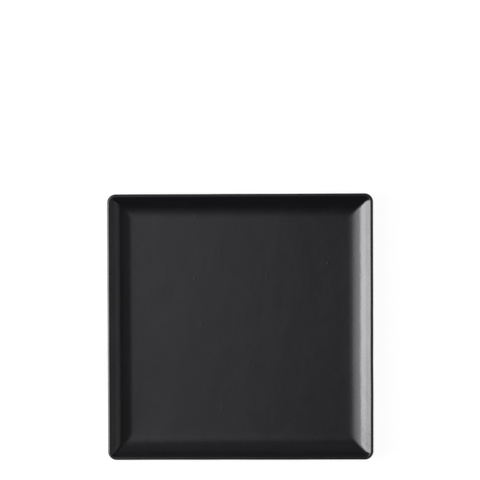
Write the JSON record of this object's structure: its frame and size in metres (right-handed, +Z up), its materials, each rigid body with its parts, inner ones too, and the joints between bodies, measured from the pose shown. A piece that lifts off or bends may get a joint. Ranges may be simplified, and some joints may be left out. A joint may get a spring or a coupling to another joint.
{
  "type": "serving plate",
  "caption": "Square black-glazed stoneware serving plate with a flat floor, sloping walls that meet in mitred corners, a narrow rounded lip and a bare foot ring.",
  "frame": {"origin": "middle of the plane that the foot ring stands on", "axes": "+Z up out of the well, +X and +Y square to the plate's sides"},
  "size_m": [0.26, 0.26, 0.02],
  "materials": {
    "bare_stoneware": "fired, unglazed and matt",
    "black_glaze": "satin black glaze"
  },
  "bodies": {
    "root": {"clay_body": "bare_stoneware", "face_glaze": "black_glaze", "base_glaze": "black_glaze"}
  },
  "joints": []
}
